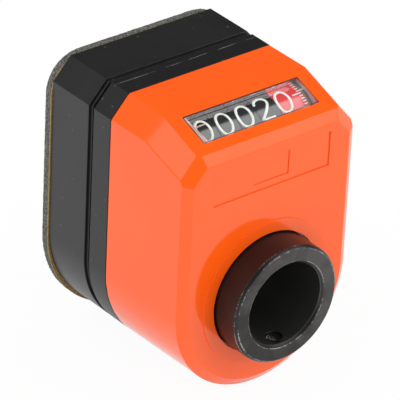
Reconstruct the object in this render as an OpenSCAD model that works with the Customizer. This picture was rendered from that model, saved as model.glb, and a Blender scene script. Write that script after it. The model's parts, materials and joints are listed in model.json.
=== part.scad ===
// Shaft-mounted position indicator: a five-digit roller counter behind a sloped window.
// X runs across the body, the front looks along -Y and Z is up. The shaft turns about Y at x = z = 0.
// A depth is a distance forward from the rear face of the black base, which lies at y = 0.

/* [Housing] */
// Width across the flat sides and diameter of the round lower end
body_width = 48.5; // [47:0.5:54]
// Height of the top face over the shaft axis
top_height = 43.6; // [43:0.1:48]
// Width of the cut on each top corner
corner_width = 4.64; // [3.5:0.02:5.5]
// Height of the cut on each top corner
corner_height = 5.12; // [3.5:0.02:5.5]
// Depth of the black rear base
base_depth = 13; // [12.6:0.1:16]
// Width of the groove between base and ring
groove_width = 1.8; // [1:0.1:2.4]
// How far the shelf in the groove lies under the outer face
shelf_inset = 0.6; // [0.4:0.1:0.8]
// Width of the shelf in the groove
shelf_width = 0.7; // [0.4:0.1:0.9]
// How far the groove floor lies under the outer face
groove_inset = 1.5; // [1:0.1:1.7]
// Depth of the black ring in front of the groove
ring_depth = 5.9; // [5.4:0.1:7]
// Width and depth of the shadow line behind the orange case
seam_gap = 0.25; // [0.1:0.05:0.4]
// Depth of the flat top of the orange case
flat_depth = 12.25; // [12:0.05:14]
// Horizontal length of the sloped window face
slope_run = 12.2; // [11.6:0.1:13]
// Drop of the sloped window face
slope_drop = 4.34; // [3.8:0.02:4.8]
// Depth of the chamfer round the front face
edge_depth = 1.45; // [1:0.05:2.4]
// Width of the chamfer at the sides and the round end
edge_width = 2.1; // [1:0.1:2.4]
// Depth of the chamfer under the window face
nose_run = 1.6; // [1.2:0.1:2]
// Height of the chamfer under the window face
nose_drop = 2.53; // [1.8:0.01:3]
// Where the small corner facets start, measured inward from the top corner cuts
facet_side = 1.4; // [0.6:0.1:2]
// Lean of the small corner facets from the top
facet_lean = 52.7; // [48:0.1:58]
// Turn of the small corner facets to the side
facet_turn = 48.8; // [44:0.1:54]
// Moulding taper of each side of the orange case
draft_in = 0.4; // [0:0.01:0.6]
// Wall of the orange case
case_wall = 2; // [1.6:0.1:2.2]
// Front wall of the orange case
front_wall = 2.4; // [2:0.1:2.8]
// Wall of the rear base
base_wall = 2.4; // [2:0.1:2.8]
// Rear wall of the base
rear_wall = 3; // [2.6:0.1:3.4]
// Web of the ring that carries the works
web_thick = 2; // [1.6:0.1:2.4]
// Web position in front of the ring's rear face
web_set = 2.4; // [2:0.1:2.6]
// Height of the ring's lip inside the orange case
lip_high = 1.5; // [1:0.1:2]
// Thickness of the ring's lip
lip_thick = 1; // [0.8:0.1:1.2]

/* [Front details] */
// Width of the window
window_width = 32.1; // [30:0.1:34]
// Length of the window down the slope
window_length = 8.32; // [7:0.02:9]
// Distance of the window from the top edge of the slope
window_edge = 1.86; // [1.4:0.02:2.4]
// Thickness of the pane
pane_thick = 1.2; // [0.8:0.1:1.3]
// Radius of the raised pad round the shaft
pad_radius = 17.6; // [16:0.1:20]
// Height of the raised pad
pad_height = 0.25; // [0.1:0.05:0.6]
// Width of the label recess
label_width = 32.3; // [24:0.1:34]
// Height of the label recess
label_height = 8.5; // [6:0.1:9]
// Height of the lower edge of the label recess over the shaft axis
label_base = 26.4; // [24:0.1:28]
// Depth of the label recess
label_sink = 0.3; // [0.1:0.05:0.5]
// Width of the inner plate recess
plate_width = 9.75; // [6:0.05:14]
// Height of the inner plate recess
plate_height = 5.8; // [4:0.1:6]
// Depth of the inner plate recess under the label
plate_sink = 0.25; // [0.1:0.05:0.5]

/* [Hollow shaft] */
// Bore of the hollow shaft
bore_diameter = 20; // [14:0.5:21]
// Outer diameter of the hollow shaft
shaft_diameter = 28.6; // [27:0.1:29.4]
// Length of the shaft in front of the case
shaft_stick = 7.35; // [6:0.05:12]
// How far the rear end of the shaft lies inside the foam's rear face
shaft_rear = 0.6; // [0:0.1:1.6]
// Chamfer at the shaft's outer edges
shaft_chamfer = 0.6; // [0.2:0.1:1]
// Chamfer at the mouths of the bore
bore_chamfer = 0.7; // [0.2:0.1:1]
// Set screw diameter
set_screw_diameter = 4; // [3:0.5:6]
// Distance of the set screw from the front end
set_screw_back = 3.7; // [3.2:0.1:5]
// How far the set screw lies inside the shaft's outer face
set_screw_sink = 0.4; // [0.2:0.1:0.8]
// Room between the shaft and the front face's hole
mouth_gap = 0.4; // [0.2:0.05:0.6]
// Section of the sealing rings
seal_section = 1.8; // [1.4:0.1:2]
// Wall of the bearing bosses
bearing_wall = 2.8; // [2.4:0.1:3]
// Length of the front bearing boss
bearing_length = 7.5; // [6:0.5:8]
// Thickness of the retaining ring
ring_thick = 1.2; // [0.8:0.1:1.6]
// Height of the retaining ring over the shaft
ring_rise = 1.5; // [1:0.1:2]
// Depth of the retaining ring's groove
ring_seat = 0.7; // [0.4:0.1:1]
// Opening of the retaining ring
ring_opening = 5; // [3:0.5:7]
// Diameter of the plier holes in the retaining ring
ring_hole = 1.2; // [0.8:0.1:1.4]

/* [Counter] */
// Width of the red wheel with its graduated rim
units_width = 7.75; // [7.4:0.05:8]
// Room between the left cheek and the side wall
cheek_room = 5.6; // [5:0.1:6]
// Room between the spur gears and the side wall
gear_room = 1.4; // [1.2:0.1:2]
// Room between the frame's floor and the shaft
frame_lift = 2.4; // [2:0.02:3.2]
// Depth of the wheels' crest under the window face
crest_depth = 1.77; // [1.7:0.01:2.2]
// Position of the crest down the slope
crest_along = 4.4; // [4:0.1:5]
// Thickness of the web of a number wheel
wheel_web = 1.45; // [1.3:0.05:1.6]
// Rim wall of a number wheel
wheel_rim = 0.9; // [0.7:0.05:1]
// Wall between the rim and the carry teeth
ring_skin = 0.35; // [0.2:0.05:0.5]
// Diameter of the counter axle
axle_diameter = 4; // [3:0.1:4.2]
// Diameter of the red wheel's drive sleeve
sleeve_diameter = 8; // [7:0.1:9]
// Width of the index collar
collar_width = 2.45; // [2:0.05:2.6]
// Thickness of the left cheek
cheek_thick = 1.6; // [1.2:0.1:2]
// Wall round the axle in the left cheek
cheek_wall = 3; // [2:0.1:4]
// Thickness of the frame's floor
floor_thick = 1.5; // [1.2:0.1:1.8]
// Half width of the frame's ears
ear_half = 1.8; // [1.6:0.1:2]
// Thickness of the frame's ears
ear_thick = 2; // [1.6:0.1:2.4]
// Distance of the ear screws under the floor
ear_drop = 3; // [2.8:0.1:3.6]
// Width of the index line on the collar
index_width = 0.4; // [0.2:0.05:0.6]
// Depth of the index line on the collar
index_depth = 0.15; // [0.05:0.05:0.3]
// Angle of the index line from the top
index_angle = 18; // [12:1:26]

/* [Gears] */
// Teeth of the helical gear on the shaft
shaft_teeth = 39; // [36:3:42]
// Teeth of the helical gear on the cross axle
cross_teeth = 13; // [12:1:14]
// Hub wall under the teeth of the shaft gear
hub_wall = 1.5; // [1.2:0.1:1.6]
// Face width of the shaft gear
shaft_gear_width = 7; // [5:0.5:7]
// Face width of the cross gear
cross_gear_width = 8; // [6:0.5:9]
// Teeth of the spur gear on the cross axle
transfer_teeth = 16; // [14:1:17]
// Teeth of the spur gear on the red wheel
counter_teeth = 24; // [22:1:24]
// Module of the spur gears
spur_module = 0.7; // [0.65:0.01:0.7]
// Face width of the spur gears
spur_width = 1.7; // [1.4:0.1:1.8]
// Diameter of the cross axle
cross_axle_diameter = 3; // [2:0.1:4]
// Wall of the cross axle's lugs
lug_wall = 1.7; // [1.4:0.1:2]
// Width of the cross axle's lugs
lug_width = 2.4; // [2:0.1:3]
// Diameter of the idler pin
idler_pin_diameter = 2.4; // [2:0.1:3]
// Wall round the idler pin and rim of its head
idler_wall = 0.9; // [0.6:0.1:1.2]
// Height of the idler pin's head
idler_head = 0.7; // [0.5:0.1:0.9]
// Diameter of the carry pinions' stubs
stub_diameter = 1.6; // [1.2:0.1:1.8]
// Width of the carry pinions
pinion_width = 1.5; // [1.2:0.1:1.6]
// Thickness of the carry plates
plate_thick = 0.7; // [0.5:0.05:0.8]

/* [Rear side] */
// Thickness of the foam seal
foam_thick = 2; // [1:0.1:4]
// Thickness of the backing film
film_thick = 0.4; // [0.2:0.05:0.8]
// Corner radius of the seal
seal_corner = 8.5; // [4:0.5:9]
// How far the seal's round end reaches below the housing
seal_drop = 1.2; // [0:0.1:3]
// How far the seal's top edge lies under the housing's top
seal_under = 0.3; // [0:0.1:1]
// How far the seal's sides reach past the housing
seal_over = 0.25; // [0:0.05:0.6]
// Room between the seal and the shaft
seal_room = 1.2; // [0.6:0.1:2]
// Diameter of the torque pin
pin_diameter = 6; // [4:0.5:7]
// Height of the torque pin over the shaft axis
pin_height = 30; // [29:0.5:34]
// Length of the torque pin behind the foam seal
pin_stick = 6.5; // [4:0.5:10]
// Step of the torque pin's neck and width of its end chamfer
pin_step = 0.5; // [0.3:0.1:0.8]
// Wall round the torque pin's neck
pin_wall = 2; // [1.4:0.1:2.6]

/* [Fasteners] */
// Diameter of the case screws
screw_diameter = 2.5; // [2:0.1:2.8]
// Head diameter of the case screws
head_diameter = 4.4; // [4:0.1:4.6]
// Head height of the case screws
head_height = 1.8; // [1.4:0.1:2]
// How far the screw heads lie inside the base's rear face
head_sink = 0.2; // [0.1:0.05:0.4]
// Length of the case screws in the orange case
screw_bite = 3.4; // [2.8:0.1:3.6]
// Radius of the screw bosses
screw_boss = 2.3; // [2.2:0.05:2.5]
// How far the upper screw bosses are sunk into the side walls
boss_sink = 0.3; // [0.2:0.1:0.5]
// How far the lower screw bosses are sunk into the round wall
low_sink = 0.9; // [0.6:0.1:1]
// Distance of the upper screws under the top
screw_drop = 6.4; // [6:0.1:7]
// Angle of the lower screws under the horizontal
screw_angle = 40; // [36:1:44]
// Diameter of the frame screws
frame_screw_diameter = 2; // [1.6:0.1:2.4]
// Length of the frame screws in the web
frame_bite = 3.5; // [2.6:0.1:3.8]
// Head height of the frame screws
frame_head = 1.3; // [1:0.1:1.5]
// Rim of the frame screws' heads and wall of their bosses
frame_rim = 0.9; // [0.6:0.1:1.2]

/* [Clearances] */
// Radial running clearance of shafts and axles
run_gap = 0.06; // [0.03:0.01:0.1]
// Free play between faces that turn past each other
side_gap = 0.3; // [0.2:0.05:0.4]
// Room round moving wheels and gears
free_gap = 0.5; // [0.4:0.05:0.6]
// Axial gaps between the small pieces inside the wheels
slip_gap = 0.12; // [0.08:0.01:0.16]
// Half of the gap between neighbouring wheels
rim_gap = 0.06; // [0.03:0.01:0.1]
// Gap round fitted covers and screws
fit_gap = 0.05; // [0.02:0.01:0.15]
// Thinning of the spur teeth for backlash
spur_thin = 0.14; // [0.1:0.01:0.2]
// Thinning of the carry teeth for backlash
carry_thin = 0.2; // [0.18:0.01:0.24]
// Thinning of the helical teeth for backlash
helix_thin = 0.34; // [0.3:0.02:0.44]

/* [Hidden] */
$fn = 96;

half = body_width / 2;
shaft_r = shaft_diameter / 2;
bore_r = bore_diameter / 2;
far = 3 * body_width;

// Depths of the housing joints
d_rear = -foam_thick - film_thick;
d_base = 0;
d_groove = d_base + base_depth;
d_ring = d_groove + groove_width;
d_seam = d_ring + ring_depth;
d_slope = d_seam + flat_depth;
d_nose = d_slope + slope_run;
d_front = d_nose + nose_run;
d_tip = d_front + shaft_stick;
web_rear = d_ring + web_set;
web_front = web_rear + web_thick;
slope = atan(slope_drop / slope_run);
corner_turn = atan(corner_height / corner_width);

// Number wheels between the frame's floor and the sloped face
floor_base = shaft_r + frame_lift;
floor_top = floor_base + floor_thick;
crest_z = top_height - crest_along * sin(slope) - crest_depth * cos(slope);
wheel_radius = (crest_z - floor_top - free_gap) / (1 + cos(slope));
axis_down = crest_depth + wheel_radius;
counter_d = d_slope + crest_along * cos(slope) - axis_down * sin(slope);
counter_z = top_height - crest_along * sin(slope) - axis_down * cos(slope);
axle_r = axle_diameter / 2;
sleeve_r = sleeve_diameter / 2;

// Row of wheels from left to right
digits = 4;
cheek_left = case_wall + cheek_room - half;
cheek_right = cheek_left + cheek_thick;
row_left = cheek_right + side_gap;
spur_right = half - base_wall - gear_room;
spur_left = spur_right - spur_width;
collar_right = spur_left - side_gap;
collar_left = collar_right - collar_width;
units_right = collar_left - side_gap;
units_left = units_right - units_width;
wheel_pitch = (units_left - row_left) / digits;

// Crossed helical pair at 45 degrees
helix_r = (shaft_r + hub_wall) / (1 - 2.5 * cos(45) / shaft_teeth);
helix_module = 2 * helix_r / shaft_teeth;
normal_module = helix_module * cos(45);
cross_r = cross_teeth * helix_module / 2;
helix_tip = 0.9 * normal_module;
helix_root = 1.25 * normal_module;
cross_z = helix_r + cross_r;
cross_tip = cross_r + helix_tip;
gear_d = web_rear - 2 * free_gap - cross_tip;
cross_axle_r = cross_axle_diameter / 2;

// Spur train from the cross axle to the red wheel
spur_tip = 0.85 * spur_module;
spur_root = 1.2 * spur_module;
transfer_r = transfer_teeth * spur_module / 2;
counter_r = counter_teeth * spur_module / 2;
train_y = gear_d - counter_d;
train_z = counter_z - cross_z;
train_span = norm([train_y, train_z]);
train_angle = atan2(train_z, train_y);
idler_teeth = ceil((train_span - transfer_r - counter_r + 2) / spur_module);
idler_r = idler_teeth * spur_module / 2;
reach_a = transfer_r + idler_r;
reach_b = counter_r + idler_r;
bend = acos((reach_a * reach_a + train_span * train_span - reach_b * reach_b) / (2 * reach_a * train_span));
idler_angle = train_angle + bend;
idler_d = gear_d - reach_a * cos(idler_angle);
idler_z = cross_z + reach_a * sin(idler_angle);
counter_angle = atan2(counter_z - idler_z, idler_d - counter_d);
idler_phase = idler_angle + 180 + (180 + transfer_teeth * idler_angle) / idler_teeth;
counter_phase = counter_angle + 180
    + (180 - idler_teeth * (idler_phase - counter_angle)) / counter_teeth;
idler_pin_r = idler_pin_diameter / 2;

// Carry gearing inside the number wheels
ring_teeth = 20;
pinion_teeth = 6;
carry_module = (wheel_radius - wheel_rim - ring_skin) / (ring_teeth / 2 + 1.05);
carry_reach = (ring_teeth - pinion_teeth) * carry_module / 2;
ring_root = ring_teeth * carry_module / 2 + 1.05 * carry_module;
ring_tip = ring_teeth * carry_module / 2 - 0.83 * carry_module;
pinion_tip = pinion_teeth * carry_module / 2 + 0.78 * carry_module;
pinion_root = pinion_teeth * carry_module / 2 - 1.05 * carry_module;
carry_tooth = 0.8 * carry_module;
stub_r = stub_diameter / 2;
plate_at = wheel_web + rim_gap + slip_gap;
pinion_at = plate_at + plate_thick + slip_gap;
stub_end = pinion_at + pinion_width + slip_gap;
disc_at = stub_end + slip_gap;
disc_r = carry_reach - pinion_tip / 4;

// Bearings, seals and screws
bearing_r = shaft_r + run_gap;
boss_r = bearing_r + bearing_wall;
seal_r = seal_section / 2;
seal_ring = shaft_r + fit_gap + seal_r;
seal_seat = seal_ring + seal_r + fit_gap;
mouth_r = shaft_r + mouth_gap;
hub_rear = gear_d - shaft_gear_width / 2 - side_gap;
hub_front = web_rear - side_gap - ring_thick;
front_bearing = d_front - bearing_length;
front_seal_d = d_front - front_wall - seal_r;
rear_boss_end = hub_rear - side_gap;
rear_seal_d = d_base + rear_wall + seal_r;
screw_x = half - case_wall - screw_boss + boss_sink;
screw_z = top_height - screw_drop;
low_reach = half - case_wall - screw_boss + low_sink;
screw_spots = [
    [screw_x, screw_z],
    [-screw_x, screw_z],
    [low_reach * cos(screw_angle), -low_reach * sin(screw_angle)],
    [-low_reach * cos(screw_angle), -low_reach * sin(screw_angle)]
];
screw_end = d_seam + screw_bite;
screw_r = screw_diameter / 2;
head_r = head_diameter / 2;
frame_screw_r = frame_screw_diameter / 2;
pin_neck_r = pin_diameter / 2 - pin_step;
ears = [cheek_left + ear_half, collar_right - ear_half];
ear_z = floor_base - ear_drop;
ear_front = web_front + ear_thick;
lug_left = -cross_gear_width / 2 - side_gap - lug_width;
lug_right = spur_left - 2 * side_gap - lug_width;

// Extrudes an outline drawn in x and z from depth d0 to depth d1
module along(d0, d1) {
    rotate([90, 0, 0])
        translate([0, 0, d0])
            linear_extrude(d1 - d0)
                children();
}

// Cylinder on the shaft axis, or on a parallel axis at x and z
module post(r, d0, d1, x = 0, z = 0) {
    translate([x, -d0, z])
        rotate([90, 0, 0])
            cylinder(r = r, h = d1 - d0);
}

// Extrudes an outline drawn in y and z from x0 to x1
module across(x0, x1) {
    translate([x0, 0, 0])
        rotate([90, 0, 90])
            linear_extrude(x1 - x0)
                children();
}

// Cylinder along x through depth d and height z
module rod(r, x0, x1, d, z) {
    translate([x0, -d, z])
        rotate([0, 90, 0])
            cylinder(r = r, h = x1 - x0);
}

// Housing block with a round lower end and cut top corners, set in by w
module block(w, d0, d1) {
    cut = norm([corner_width, corner_height]);
    cut_x = corner_width - w * (1 - (cut - corner_width) / corner_height);
    cut_z = corner_height - w * (1 - (cut - corner_height) / corner_width);
    side = half - w;
    top = top_height - w;
    along(d0, d1)
        polygon([
            [-side, 0], [side, 0], [side, top - cut_z], [side - cut_x, top],
            [cut_x - side, top], [-side, top - cut_z]
        ]);
    rotate([90, 0, 0])
        rotate([0, 0, 180])
            translate([0, 0, d0])
                rotate_extrude(angle = 180)
                    square([side, d1 - d0]);
}

// Removes all above a plane that passes through the local origin, lowered by w
module shave(w) {
    translate([-far, -far, -w])
        cube([2 * far, 2 * far, far]);
}

// Orange case as a solid, tapered forward and chamfered round the front, set in by w
module case_solid(w, d0, d1) {
    r0 = half - w;
    r1 = r0 - draft_in;
    r2 = r1 - edge_width;
    d_edge = d1 - edge_depth;
    nose_z = top_height - slope_drop - nose_drop;
    difference() {
        linear_extrude(top_height - w)
            polygon([[-r0, -d0], [-r1, -d_edge], [-r2, -d1], [r2, -d1], [r1, -d_edge], [r0, -d0]]);
        translate([0, -d_slope, top_height])
            rotate([slope, 0, 0])
                shave(w);
        translate([0, -d_nose, top_height - slope_drop])
            rotate([atan(nose_drop / nose_run), 0, 0])
                shave(w);
        for (side = [0, 1]) mirror([side, 0, 0]) {
            translate([half - corner_width, 0, top_height])
                rotate([0, corner_turn, 0])
                    shave(w);
            translate([half - corner_width, -d_slope, top_height])
                rotate([slope, 0, 0])
                    rotate([0, corner_turn, 0])
                        shave(w);
            translate([half - corner_width - facet_side, -d_front, nose_z])
                rotate([0, facet_turn, 0])
                    rotate([facet_lean, 0, 0])
                        shave(w);
        }
    }
    rotate([90, 0, 0])
        rotate([0, 0, 180])
            rotate_extrude(angle = 180)
                polygon([[0, d0], [r0, d0], [r1, d_edge], [r2, d1], [0, d1]]);
}

// Local frame of the sloped face: x across, -y down the slope, z out of the face
module on_slope() {
    translate([0, -d_slope, top_height])
        rotate([slope, 0, 0])
            children();
}

function involute(r, base) =
    let (q = sqrt(max(pow(r / base, 2) - 1, 0)))
    q * 180 / PI - atan(q);

// Gear outline with one tooth on the local x axis
module gear_outline(teeth, size, root, tip, thin, pressure, steps) {
    pitch = teeth * size / 2;
    base = pitch * cos(pressure);
    wide = 90 / teeth - thin / (2 * pitch) * 180 / PI + involute(pitch, base);
    polygon([
        for (tooth = [0 : teeth - 1], s = [0 : 2 * steps + 1])
            let (
                k = s <= steps ? s : 2 * steps + 1 - s,
                r = root + (tip - root) * k / steps,
                a = tooth * 360 / teeth + (s <= steps ? -1 : 1) * (wide - involute(r, base))
            )
            [r * cos(a), r * sin(a)]
    ]);
}

module spur_outline(teeth) {
    pitch = teeth * spur_module / 2;
    gear_outline(teeth, spur_module, pitch - spur_root, pitch + spur_tip, spur_thin, 25, 3);
}

module helical(teeth, width, turn) {
    pitch = teeth * helix_module / 2;
    pressure = atan(tan(20) / cos(45));
    twist = width / pitch * 180 / PI;
    linear_extrude(width, center = true, twist = twist, slices = ceil(twist / 6))
        rotate(turn + twist / 2)
            gear_outline(teeth, helix_module, pitch - helix_root, pitch + helix_tip, helix_thin, pressure, 2);
}

// Carry disc with its two teeth, on the higher side of a wheel
module carry_disc(x0) {
    x1 = x0 - wheel_pitch + disc_at;
    x2 = x0 + wheel_web / 2;
    rod(disc_r, x1, x2, counter_d, counter_z);
    for (side = [-1, 1])
        across(x1, x2)
            translate([-counter_d, counter_z])
                rotate(90 + side * 180 / ring_teeth)
                    translate([disc_r - carry_tooth, -carry_tooth / 2])
                        square([2 * carry_tooth, carry_tooth]);
}

// Number wheel: rim, web and the inner ring of carry teeth
module number_wheel(place, carries) {
    x0 = units_left - place * wheel_pitch;
    difference() {
        union() {
            difference() {
                rod(wheel_radius, x0 + rim_gap, x0 + wheel_pitch - rim_gap, counter_d, counter_z);
                rod(wheel_radius - wheel_rim, x0 + rim_gap + wheel_web, x0 + wheel_pitch,
                    counter_d, counter_z);
            }
            across(x0 + plate_at + plate_thick / 2, x0 + stub_end)
                translate([-counter_d, counter_z])
                    difference() {
                        circle(wheel_radius - wheel_rim / 2);
                        gear_outline(ring_teeth, carry_module, ring_tip, ring_root, -carry_thin, 25, 2);
                    }
            if (carries)
                carry_disc(x0);
        }
        rod(axle_r + run_gap, x0 - wheel_pitch, x0 + wheel_pitch, counter_d, counter_z);
    }
}

module carry_pinion(place) {
    x0 = units_left - place * wheel_pitch;
    across(x0 + pinion_at, x0 + pinion_at + pinion_width)
        translate([-counter_d, counter_z - carry_reach])
            difference() {
                rotate(270)
                    gear_outline(pinion_teeth, carry_module, pinion_root, pinion_tip, carry_thin, 25, 3);
                circle(stub_r + fit_gap);
            }
}

module seal_outline() {
    wide = half + seal_over;
    flat = wide - seal_corner;
    translate([-wide, seal_over - seal_drop])
        square([2 * wide, top_height - seal_under - seal_corner + seal_drop - seal_over]);
    translate([-flat, seal_over - seal_drop])
        square([2 * flat, top_height - seal_under + seal_drop - seal_over]);
    for (side = [-1, 1])
        translate([side * flat, top_height - seal_under - seal_corner])
            circle(seal_corner);
    translate([0, seal_over - seal_drop])
        circle(wide);
}

module seal_sheet(d0, d1) {
    along(d0, d1)
        difference() {
            seal_outline();
            circle(shaft_r + seal_room);
            translate([0, pin_height])
                circle(pin_diameter / 2 + side_gap);
        }
}

module seal_ring_at(d) {
    translate([0, -d, 0])
        rotate([90, 0, 0])
            rotate_extrude()
                translate([seal_ring, 0])
                    circle(seal_r);
}

// Narrow rebate round the rear edge of the orange case
module shadow_line() {
    difference() {
        block(-1, d_seam - 1, d_seam + seam_gap);
        block(seam_gap, d_seam - 2, d_seam + 2 * seam_gap);
    }
}

module front_case() {
    color("darkorange")
        difference() {
            union() {
                difference() {
                    case_solid(0, d_seam, d_front);
                    case_solid(case_wall, d_seam - 1, d_front - front_wall);
                }
                post(boss_r, front_bearing, d_front - front_wall / 2);
                post(pad_radius, d_front - front_wall / 2, d_front + pad_height);
                for (spot = screw_spots)
                    post(screw_boss, d_seam, screw_end + case_wall / 2, spot[0], spot[1]);
            }
            shadow_line();
            rod(wheel_radius + free_gap, cheek_left - side_gap, collar_right + side_gap,
                counter_d, counter_z);
            rod(counter_r + spur_tip + free_gap, spur_left - side_gap, spur_right + side_gap,
                counter_d, counter_z);
            post(bearing_r, front_bearing - 1, d_front);
            post(seal_seat, front_seal_d - seal_r - fit_gap, front_seal_d + seal_r + fit_gap);
            post(mouth_r, d_front - front_wall / 2, d_front + 1);
            for (spot = screw_spots)
                post(screw_r + fit_gap, d_seam - 1, screw_end + side_gap, spot[0], spot[1]);
            on_slope()
                translate([-window_width / 2, -window_edge - window_length, -3 * case_wall])
                    cube([window_width, window_length, 4 * case_wall]);
            translate([-label_width / 2, -d_front - 1, label_base])
                cube([label_width, 1 + label_sink, label_height]);
            translate([-plate_width / 2, -d_front - 1, label_base + (label_height - plate_height) * 0.6])
                cube([plate_width, 1 + label_sink + plate_sink, plate_height]);
        }
}

module window_pane() {
    color("lightcyan", 0.4)
        on_slope()
            translate([fit_gap - window_width / 2, fit_gap - window_edge - window_length, -pane_thick])
                cube([window_width - 2 * fit_gap, window_length - 2 * fit_gap, pane_thick]);
}

// Black ring with the web that carries the gear train and the counter
module chassis_ring() {
    lug = cross_axle_r + lug_wall;
    lip = case_wall + 2 * fit_gap;
    idler_room = idler_r + spur_tip + free_gap;
    color("dimgray")
        difference() {
            union() {
                difference() {
                    block(0, d_ring, d_seam);
                    block(case_wall, d_ring - 1, d_seam + 1);
                }
                difference() {
                    union() {
                        block(case_wall / 2, d_seam - lip_high, d_seam - lip_high / 3);
                        block(lip, d_seam - lip_high, d_seam + lip_high);
                    }
                    block(lip + lip_thick, d_seam - 2 * lip_high, d_seam + 2 * lip_high);
                    for (spot = screw_spots)
                        post(screw_boss + side_gap, d_seam - 2 * lip_high, d_seam + 2 * lip_high,
                            spot[0], spot[1]);
                }
                block(case_wall / 2, web_rear, web_front);
                for (spot = screw_spots)
                    post(screw_boss, d_ring, web_front, spot[0], spot[1]);
                for (x = ears)
                    post(frame_screw_r + frame_rim, web_front - frame_bite - fit_gap, web_front, x, ear_z);
                for (x = [lug_left, lug_right])
                    translate([x, -web_rear - web_thick / 2, cross_z - lug])
                        cube([lug_width, web_rear + web_thick / 2 - gear_d + lug, 2 * lug]);
            }
            post(shaft_r + free_gap, web_rear - 1, web_front + 1);
            rod(wheel_radius + free_gap, cheek_left - side_gap, collar_right + side_gap,
                counter_d, counter_z);
            rod(cross_axle_r + run_gap, -half, half, gear_d, cross_z);
            translate([spur_left - side_gap, -d_seam - 2 * lip_high, idler_z - idler_room])
                cube([
                    half - case_wall - spur_left + side_gap,
                    d_seam + 2 * lip_high - d_ring,
                    2 * idler_room
                ]);
            for (spot = screw_spots)
                post(screw_r + fit_gap, d_ring - 1, d_seam + 1, spot[0], spot[1]);
            for (x = ears)
                post(frame_screw_r + fit_gap, web_rear - web_thick - 1, web_front + 1, x, ear_z);
        }
}

module rear_base() {
    color([0.16, 0.16, 0.17])
        difference() {
            union() {
                difference() {
                    union() {
                        block(0, d_base, d_groove);
                        block(shelf_inset, d_groove - 1, d_groove + shelf_width);
                        block(groove_inset, d_groove - 1, d_ring);
                    }
                    block(base_wall, d_base + rear_wall, d_ring + 1);
                }
                post(boss_r, d_base, rear_boss_end);
                for (spot = screw_spots)
                    post(screw_boss, d_base, d_ring, spot[0], spot[1]);
                post(pin_neck_r + pin_wall, d_base, d_base + rear_wall + pin_wall / 2, 0, pin_height);
            }
            post(bearing_r, d_base - 1, d_ring + 1);
            post(seal_seat, rear_seal_d - seal_r - fit_gap, rear_seal_d + seal_r + fit_gap);
            for (spot = screw_spots) {
                post(screw_r + fit_gap, d_base - 1, d_ring + 1, spot[0], spot[1]);
                post(head_r + fit_gap, d_base - 1, d_base + head_sink + head_height, spot[0], spot[1]);
            }
            post(pin_neck_r, d_base - 1, d_base + rear_wall, 0, pin_height);
        }
}

module backing_film() {
    color("goldenrod")
        seal_sheet(-film_thick, d_base);
}

module foam_seal() {
    color("gray")
        seal_sheet(d_rear, -film_thick);
}

// Pin with a slimmer neck that is pressed into the base
module torque_pin() {
    r = pin_diameter / 2;
    end = pin_stick - d_rear + rear_wall;
    color("silver")
        translate([0, pin_stick - d_rear, pin_height])
            rotate([90, 0, 0])
                rotate_extrude()
                    polygon([
                        [0, 0], [r - pin_step, 0], [r, pin_step],
                        [r, pin_stick], [pin_neck_r, pin_stick], [pin_neck_r, end], [0, end]
                    ]);
}

module case_screws() {
    color("silver")
        for (spot = screw_spots) {
            post(head_r, d_base + head_sink, d_base + head_sink + head_height, spot[0], spot[1]);
            post(screw_r, d_base + head_sink + head_height, screw_end, spot[0], spot[1]);
        }
}

module front_seal() {
    color([0.08, 0.08, 0.08])
        seal_ring_at(front_seal_d);
}

module rear_seal() {
    color([0.08, 0.08, 0.08])
        seal_ring_at(rear_seal_d);
}

// Frame under the wheels with a plain left cheek and a round index collar on the right
module counter_frame() {
    color([0.2, 0.2, 0.2])
        difference() {
            union() {
                across(cheek_left, cheek_right)
                    union() {
                        translate([-counter_d, counter_z])
                            circle(axle_r + cheek_wall);
                        translate([-counter_d - axle_r - cheek_wall, floor_base])
                            square([2 * (axle_r + cheek_wall), counter_z - floor_base]);
                    }
                across(collar_left, collar_right)
                    union() {
                        translate([-counter_d, counter_z])
                            circle(wheel_radius);
                        translate([-counter_d - wheel_radius / 2, floor_base])
                            square([wheel_radius, counter_z - floor_base]);
                        translate([-idler_d, idler_z])
                            circle(idler_pin_r + idler_wall);
                        translate([-idler_d, idler_z])
                            rotate(counter_angle + 180)
                                translate([-reach_b, -idler_pin_r])
                                    square([reach_b, 2 * idler_pin_r]);
                    }
                translate([cheek_left, -counter_d - wheel_radius / 2, floor_base])
                    cube([collar_right - cheek_left, counter_d + wheel_radius / 2 - web_front, floor_thick]);
                for (x = ears)
                    translate([x - ear_half, -ear_front, ear_z - ear_half])
                        cube([2 * ear_half, ear_thick, ear_drop + ear_half + floor_thick / 2]);
            }
            rod(axle_r, cheek_left - 1, cheek_right + 1, counter_d, counter_z);
            rod(sleeve_r + run_gap, collar_left - 1, collar_right + 1, counter_d, counter_z);
            rod(idler_pin_r, collar_left - 1, collar_right + 1, idler_d, idler_z);
            for (x = ears)
                post(frame_screw_r + fit_gap, web_front - 1, ear_front + 1, x, ear_z);
            translate([collar_left - 1, -counter_d, counter_z])
                rotate([index_angle, 0, 0])
                    translate([0, -index_width / 2, wheel_radius - index_depth])
                        cube([collar_width + 2, index_width, 1]);
        }
}

module frame_screws() {
    color("silver")
        for (x = ears) {
            post(frame_screw_r, web_front - frame_bite, ear_front, x, ear_z);
            post(frame_screw_r + frame_rim, ear_front, ear_front + frame_head, x, ear_z);
        }
}

module counter_axle() {
    color("silver")
        rod(axle_r, cheek_left - side_gap, spur_right + side_gap, counter_d, counter_z);
}

// Fixed plates on the counter axle, each with the stub of one carry pinion
module carry_plates() {
    color("gainsboro")
        for (place = [1 : digits])
            let (x0 = units_left - place * wheel_pitch) {
                difference() {
                    rod(ring_tip - side_gap, x0 + plate_at, x0 + plate_at + plate_thick,
                        counter_d, counter_z);
                    rod(axle_r, x0, x0 + wheel_pitch, counter_d, counter_z);
                }
                rod(stub_r, x0 + plate_at + plate_thick, x0 + stub_end, counter_d, counter_z - carry_reach);
            }
}

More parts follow.
